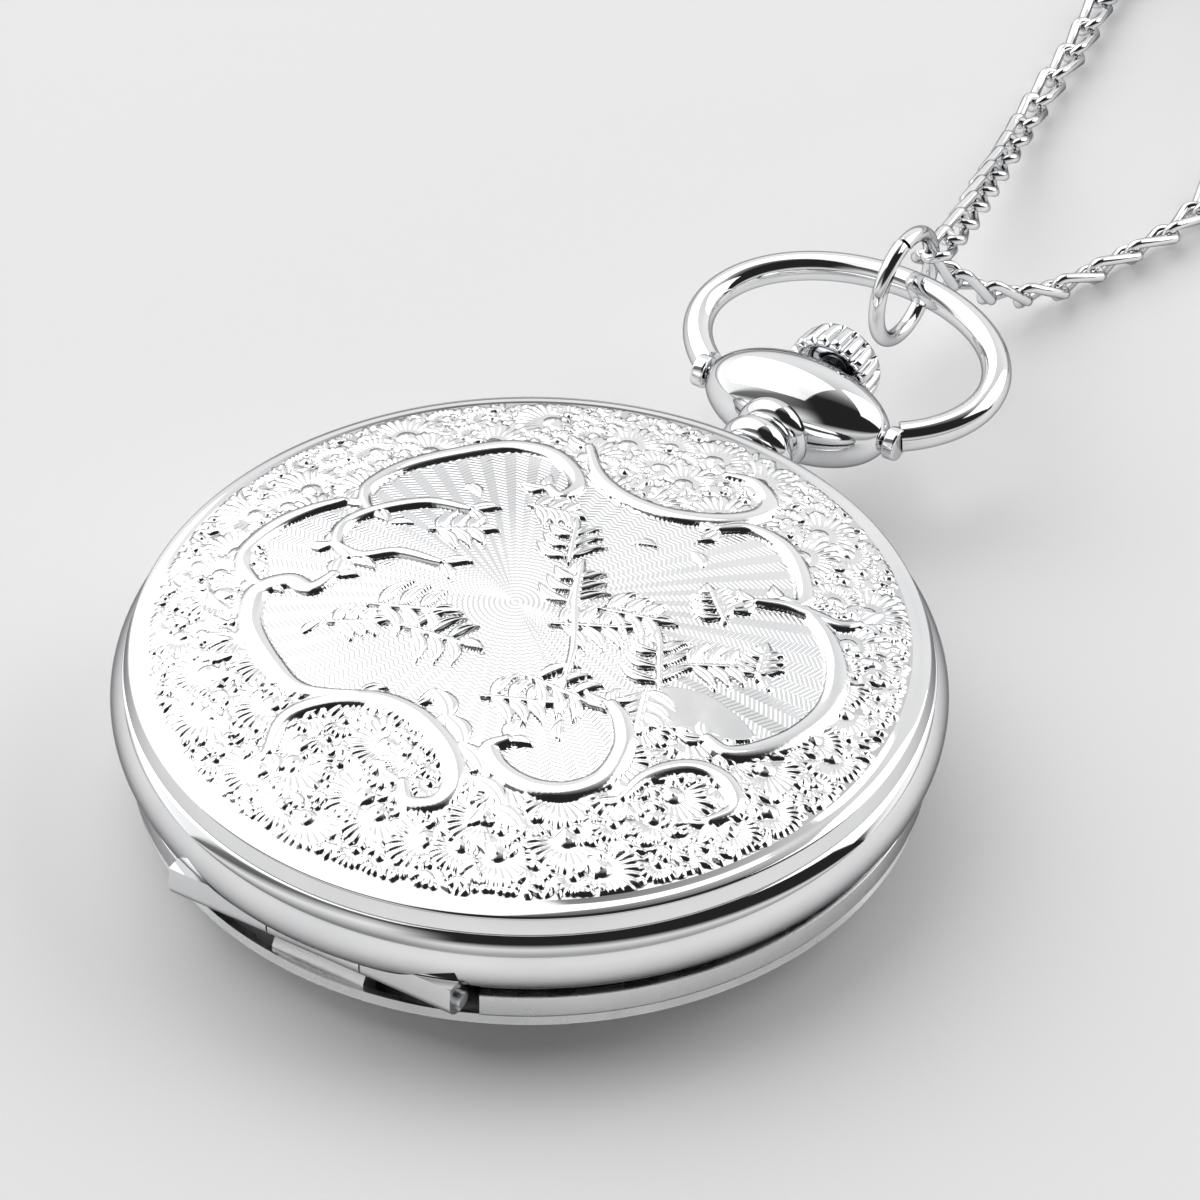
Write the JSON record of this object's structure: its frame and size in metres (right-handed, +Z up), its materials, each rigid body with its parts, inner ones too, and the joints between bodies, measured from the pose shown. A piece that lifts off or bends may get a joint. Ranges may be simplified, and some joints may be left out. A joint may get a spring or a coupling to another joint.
{
  "type": "hunter pocket watch",
  "caption": "Closed hunter pocket watch with embossed cover, hinged front lid, oval bow, fluted crown, chain and a hand-wound movement.",
  "frame": {"origin": "centre of the front lid's outer flat, on the surface the closed watch lies on", "axes": "+Z up through the back cover, +Y out through the pendant and crown, +X to the right of the pendant seen from above"},
  "size_m": [0.0532, 0.1392, 0.0123],
  "materials": {
    "embossed_chrome": "polished chrome, embossed",
    "polished_chrome": "polished chrome",
    "satin_chrome": "satin chrome",
    "steel": "fine grained steel",
    "blued_steel": "blued steel",
    "nickel": "striped nickel",
    "gilt_brass": "gilt brass",
    "dial_enamel": "white enamel",
    "crystal_glass": "polished mineral glass",
    "gasket_rubber": "matt black rubber",
    "chain_steel": "polished steel links",
    "black_resin": "matt moulded spacer"
  },
  "bodies": {
    "case": {"case_middle": "polished_chrome", "movement_ring": "black_resin", "bezel": "polished_chrome", "crystal": "crystal_glass", "dial": "dial_enamel", "case_screws": "steel", "lid_hinge_pin": "steel", "lid_spring": "steel", "pendant": "polished_chrome", "mainplate": "nickel", "barrel_bridge": "nickel", "train_bridge": "nickel", "balance_cock": "nickel", "bridge_screws": "blued_steel", "hairspring": "blued_steel", "click_spring": "steel", "chain_strand_1": "chain_steel", "chain_strand_2": "chain_steel", "chain_coil": "chain_steel"},
    "back_cover": {"back_cover": "embossed_chrome"},
    "front_lid": {"front_lid": "satin_chrome"},
    "catch": {"catch_spring": "steel"},
    "push_sleeve": {"crown_sleeve": "steel"},
    "pull_gasket": {"crown_gasket": "gasket_rubber"},
    "crown": {"crown": "polished_chrome", "winding_stem": "steel"},
    "sliding_clutch": {"sliding_clutch": "steel"},
    "winding_pinion": {"winding_pinion": "steel"},
    "crown_wheel": {"crown_wheel": "steel"},
    "ratchet": {"ratchet_wheel": "steel", "barrel_arbor": "steel"},
    "click": {"click": "steel"},
    "barrel": {"barrel": "gilt_brass", "mainspring": "steel"},
    "centre_wheel": {"centre_wheel": "gilt_brass", "cannon_pinion": "steel", "minute_hand": "blued_steel"},
    "third_wheel": {"third_wheel": "gilt_brass"},
    "fourth_wheel": {"fourth_wheel": "gilt_brass", "seconds_hand": "blued_steel"},
    "escape_wheel": {"escape_wheel": "steel"},
    "pallet_fork": {"pallet_fork": "steel"},
    "balance_wheel": {"balance_wheel": "gilt_brass"},
    "minute_wheel": {"minute_wheel": "gilt_brass"},
    "hour_wheel": {"hour_wheel": "gilt_brass", "hour_hand": "blued_steel"},
    "setting_lever": {"setting_lever": "steel"},
    "yoke": {"yoke": "steel"},
    "bow": {"bow": "polished_chrome"},
    "jump_ring": {"jump_ring": "polished_chrome"}
  },
  "joints": [
    {"name": "lid_hinge", "type": "hinge", "parent": "case", "child": "front_lid", "pos_m": [0, -0.02145, 0.00475], "axis": [-1, 0, 0], "range_deg": [0, 90]},
    {"name": "back_cover_lift", "type": "slide", "parent": "case", "child": "back_cover", "axis": [0, 0, 1], "range_m": [0, 0.008]},
    {"name": "catch_release", "type": "slide", "parent": "case", "child": "catch", "axis": [0, 1, 0], "range_m": [-0.00035, 0]},
    {"name": "crown_push", "type": "slide", "parent": "case", "child": "push_sleeve", "axis": [0, 1, 0], "range_m": [-0.00035, 0], "stiffness_N_per_m": 200},
    {"name": "crown_pull", "type": "slide", "parent": "push_sleeve", "child": "pull_gasket", "axis": [0, 1, 0], "range_m": [0, 0.0008]},
    {"name": "crown_turn", "type": "hinge", "parent": "pull_gasket", "child": "crown", "pos_m": [0, 0.034, 0.0069], "axis": [0, 1, 0], "continuous": true},
    {"name": "clutch_slide", "type": "slide", "parent": "crown", "child": "sliding_clutch", "axis": [0, 1, 0], "range_m": [-0.0013, 0]},
    {"name": "winding_pinion_turn", "type": "hinge", "parent": "case", "child": "winding_pinion", "pos_m": [0, 0.0127, 0.0069], "axis": [0, 1, 0], "continuous": true},
    {"name": "crown_wheel_turn", "type": "hinge", "parent": "case", "child": "crown_wheel", "pos_m": [-0.0015, 0.01, 0.01], "axis": [0, 0, 1], "continuous": true},
    {"name": "ratchet_turn", "type": "hinge", "parent": "case", "child": "ratchet", "pos_m": [-0.0065, 0.00375, 0.01], "axis": [0, 0, 1], "continuous": true},
    {"name": "click_pivot", "type": "hinge", "parent": "case", "child": "click", "pos_m": [-0.0122, 0.007, 0.01], "axis": [0, 0, 1], "range_deg": [0, 12]},
    {"name": "barrel_turn", "type": "hinge", "parent": "case", "child": "barrel", "pos_m": [-0.0065, 0.00375, 0.0075], "axis": [0, 0, 1], "continuous": true},
    {"name": "centre_wheel_turn", "type": "hinge", "parent": "case", "child": "centre_wheel", "pos_m": [0, 0, 0.008], "axis": [0, 0, 1], "continuous": true},
    {"name": "third_wheel_turn", "type": "hinge", "parent": "case", "child": "third_wheel", "pos_m": [-0.00462, -0.00552, 0.008], "axis": [0, 0, 1], "continuous": true},
    {"name": "fourth_wheel_turn", "type": "hinge", "parent": "case", "child": "fourth_wheel", "pos_m": [0, -0.009, 0.008], "axis": [0, 0, 1], "continuous": true},
    {"name": "escape_wheel_turn", "type": "hinge", "parent": "case", "child": "escape_wheel", "pos_m": [0.00506, -0.01084, 0.008], "axis": [0, 0, 1], "continuous": true},
    {"name": "pallet_fork_rock", "type": "hinge", "parent": "case", "child": "pallet_fork", "pos_m": [0.00726, -0.00762, 0.008], "axis": [0, 0, 1], "range_deg": [-5, 5]},
    {"name": "balance_swing", "type": "hinge", "parent": "case", "child": "balance_wheel", "pos_m": [0.0104, -0.003, 0.008], "axis": [0, 0, 1], "range_deg": [-135, 135], "stiffness_Nm_per_rad": 0.000001},
    {"name": "minute_wheel_turn", "type": "hinge", "parent": "case", "child": "minute_wheel", "pos_m": [0.002, 0.00346, 0.0057], "axis": [0, 0, 1], "continuous": true},
    {"name": "hour_wheel_turn", "type": "hinge", "parent": "case", "child": "hour_wheel", "pos_m": [0, 0, 0.005], "axis": [0, 0, 1], "continuous": true},
    {"name": "setting_lever_swing", "type": "hinge", "parent": "case", "child": "setting_lever", "pos_m": [-0.0046, 0.0142, 0.0058], "axis": [0, 0, 1], "range_deg": [0, 12]},
    {"name": "yoke_swing", "type": "hinge", "parent": "case", "child": "yoke", "pos_m": [-0.0066, 0.0104, 0.0058], "axis": [0, 0, 1], "range_deg": [-12, 0]},
    {"name": "bow_pivot", "type": "hinge", "parent": "case", "child": "bow", "pos_m": [0, 0.03, 0.0069], "axis": [1, 0, 0], "range_deg": [-95, 90]},
    {"name": "jump_ring_turn", "type": "hinge", "parent": "bow", "child": "jump_ring", "pos_m": [0, 0.0428, 0.0077], "axis": [1, 0, 0], "continuous": true}
  ],
  "couplings": [
    {"joint": "third_wheel_turn", "follows": "fourth_wheel_turn", "ratio": -0.13333},
    {"joint": "centre_wheel_turn", "follows": "fourth_wheel_turn", "ratio": 0.016667},
    {"joint": "barrel_turn", "follows": "fourth_wheel_turn", "ratio": -0.0023148},
    {"joint": "escape_wheel_turn", "follows": "fourth_wheel_turn", "ratio": -10},
    {"joint": "minute_wheel_turn", "follows": "fourth_wheel_turn", "ratio": -0.0055556},
    {"joint": "hour_wheel_turn", "follows": "fourth_wheel_turn", "ratio": 0.0013889},
    {"joint": "winding_pinion_turn", "follows": "crown_turn", "ratio": 1},
    {"joint": "crown_wheel_turn", "follows": "crown_turn", "ratio": -0.375},
    {"joint": "ratchet_turn", "follows": "crown_turn", "ratio": 0.27273},
    {"joint": "catch_release", "follows": "crown_push", "ratio": 1},
    {"joint": "clutch_slide", "follows": "crown_pull", "ratio": -1.6},
    {"joint": "setting_lever_swing", "follows": "crown_pull", "rad_per_m": 218.17},
    {"joint": "yoke_swing", "follows": "crown_pull", "rad_per_m": -218.17}
  ]
}
